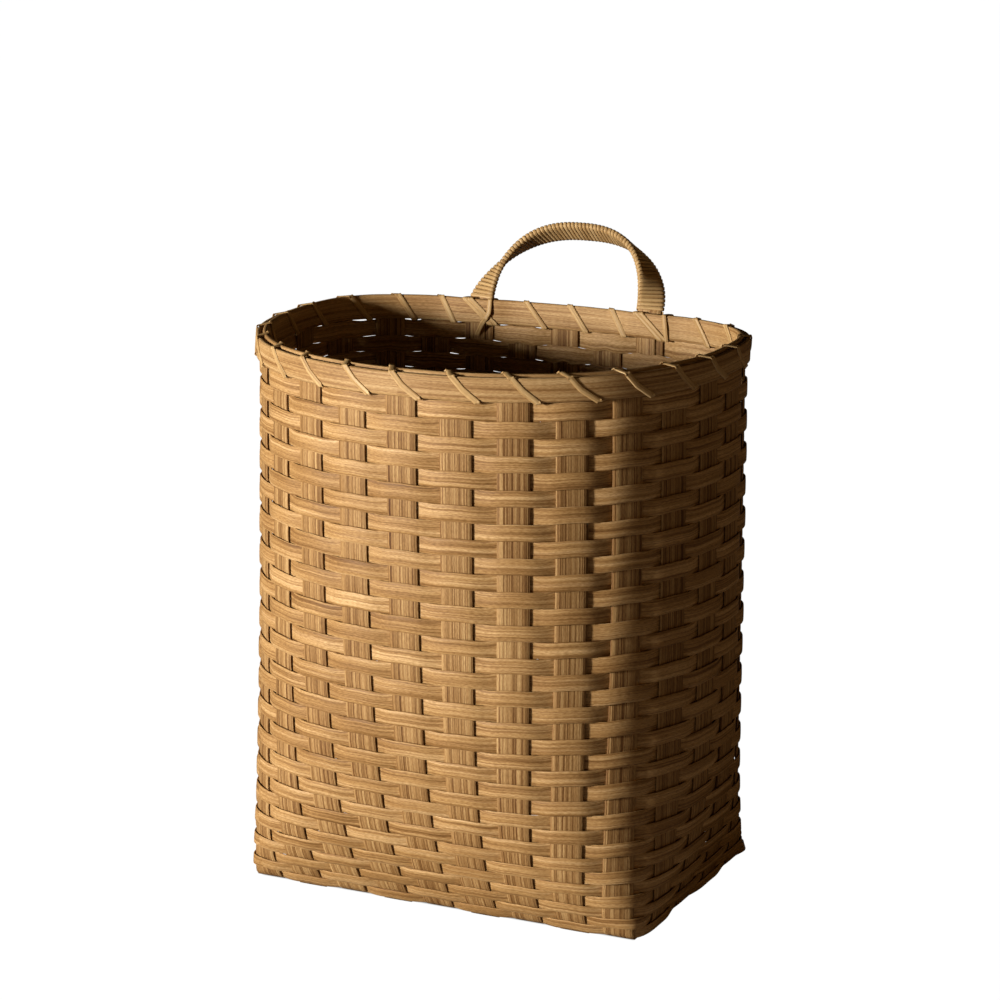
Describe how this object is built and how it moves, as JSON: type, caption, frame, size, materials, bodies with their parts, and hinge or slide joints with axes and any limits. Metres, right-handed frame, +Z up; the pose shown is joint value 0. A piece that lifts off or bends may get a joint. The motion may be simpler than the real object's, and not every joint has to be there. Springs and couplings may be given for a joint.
{
  "type": "pack basket",
  "caption": "Tall woven splint pack basket with a flat base, a bulging front, a lashed rim and one fixed, cane-wrapped handle at the back.",
  "frame": {"origin": "middle of the whole outline, on the surface that the basket stands on", "axes": "+Z up out of the mouth, -Y towards the bulging front, +Y towards the wall that carries the handle"},
  "size_m": [0.4274, 0.354, 0.5579],
  "materials": {
    "stake": "satin",
    "weaver": "satin",
    "hoop": "satin",
    "cane": "satin"
  },
  "bodies": {
    "root": {"stake_front_to_back_1": "stake", "stake_front_to_back_2": "stake", "stake_front_to_back_3": "stake", "stake_front_to_back_4": "stake", "stake_front_to_back_5": "stake", "stake_front_to_back_6": "stake", "stake_front_to_back_7": "stake", "stake_front_to_back_8": "stake", "stake_front_to_back_9": "stake", "stake_end_to_end_1": "stake", "stake_end_to_end_2": "stake", "stake_end_to_end_3": "stake", "stake_end_to_end_4": "stake", "rim_filler": "stake", "weaver_row_01": "weaver", "weaver_row_02": "weaver", "weaver_row_03": "weaver", "weaver_row_04": "weaver", "weaver_row_05": "weaver", "weaver_row_06": "weaver", "weaver_row_07": "weaver", "weaver_row_08": "weaver", "weaver_row_09": "weaver", "weaver_row_10": "weaver", "weaver_row_11": "weaver", "weaver_row_12": "weaver", "weaver_row_13": "weaver", "weaver_row_14": "weaver", "weaver_row_15": "weaver", "weaver_row_16": "weaver", "weaver_row_17": "weaver", "weaver_row_18": "weaver", "weaver_row_19": "weaver", "weaver_row_20": "weaver", "weaver_row_21": "weaver", "weaver_row_22": "weaver", "weaver_row_23": "weaver", "weaver_row_24": "weaver", "weaver_row_25": "weaver", "weaver_row_26": "weaver", "weaver_row_27": "weaver", "weaver_row_28": "weaver", "weaver_row_29": "weaver", "weaver_row_30": "weaver", "weaver_row_31": "weaver", "weaver_row_32": "weaver", "weaver_row_33": "weaver", "weaver_row_34": "weaver", "weaver_row_35": "weaver", "rim_outer_hoop": "hoop", "rim_inner_hoop": "hoop", "handle_core": "hoop", "rim_lashing_front": "cane", "rim_lashing_back": "cane", "handle_tie_left": "cane", "handle_tie_right": "cane", "handle_wrap": "cane"}
  },
  "joints": []
}
